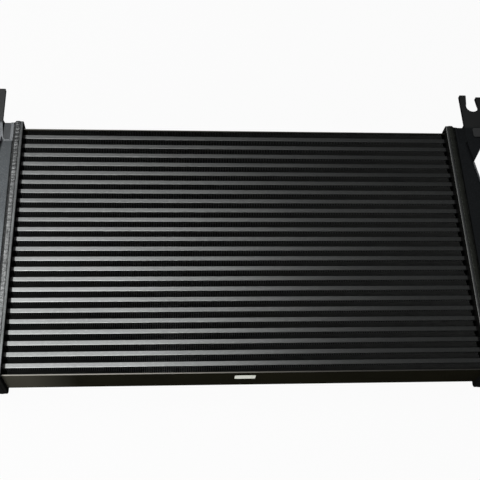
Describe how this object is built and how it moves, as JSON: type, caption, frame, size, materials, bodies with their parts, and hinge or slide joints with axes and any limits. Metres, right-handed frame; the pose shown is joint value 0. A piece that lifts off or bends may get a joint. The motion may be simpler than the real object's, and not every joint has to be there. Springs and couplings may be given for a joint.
{
  "type": "intercooler",
  "caption": "Wide flat charge-air cooler: stacked flat tubes and folded fins between two flared cast end tanks with hook ears and side hose necks.",
  "frame": {"origin": "middle of the underside of the bounding box, with the cooler lying on its back", "axes": "+X along the tubes, +Y across the tubes towards the hook ears, +Z out of the core's front face"},
  "size_m": [0.9382, 0.4754, 0.0708],
  "materials": {
    "charge_tubes": "satin brazed extrusion",
    "air_fins": "thin folded strip, dull",
    "side_plates": "brazed sheet, dull olive grey",
    "headers": "pressed sheet, satin",
    "cast_tanks": "sand casting, dull dark grey",
    "weld_beads": "rippled weld metal"
  },
  "bodies": {
    "root": {"charge_tube_01": "charge_tubes", "charge_tube_02": "charge_tubes", "charge_tube_03": "charge_tubes", "charge_tube_04": "charge_tubes", "charge_tube_05": "charge_tubes", "charge_tube_06": "charge_tubes", "charge_tube_07": "charge_tubes", "charge_tube_08": "charge_tubes", "charge_tube_09": "charge_tubes", "charge_tube_10": "charge_tubes", "charge_tube_11": "charge_tubes", "charge_tube_12": "charge_tubes", "charge_tube_13": "charge_tubes", "charge_tube_14": "charge_tubes", "charge_tube_15": "charge_tubes", "charge_tube_16": "charge_tubes", "charge_tube_17": "charge_tubes", "charge_tube_18": "charge_tubes", "charge_tube_19": "charge_tubes", "charge_tube_20": "charge_tubes", "charge_tube_21": "charge_tubes", "charge_tube_22": "charge_tubes", "charge_tube_23": "charge_tubes", "charge_tube_24": "charge_tubes", "fin_row_01": "air_fins", "fin_row_02": "air_fins", "fin_row_03": "air_fins", "fin_row_04": "air_fins", "fin_row_05": "air_fins", "fin_row_06": "air_fins", "fin_row_07": "air_fins", "fin_row_08": "air_fins", "fin_row_09": "air_fins", "fin_row_10": "air_fins", "fin_row_11": "air_fins", "fin_row_12": "air_fins", "fin_row_13": "air_fins", "fin_row_14": "air_fins", "fin_row_15": "air_fins", "fin_row_16": "air_fins", "fin_row_17": "air_fins", "fin_row_18": "air_fins", "fin_row_19": "air_fins", "fin_row_20": "air_fins", "fin_row_21": "air_fins", "fin_row_22": "air_fins", "fin_row_23": "air_fins", "fin_row_24": "air_fins", "fin_row_25": "air_fins", "top_side_plate": "side_plates", "bottom_side_plate": "side_plates", "left_header": "headers", "right_header": "headers", "left_tank": "cast_tanks", "right_tank": "cast_tanks", "left_weld_bead": "weld_beads", "right_weld_bead": "weld_beads"}
  },
  "joints": []
}
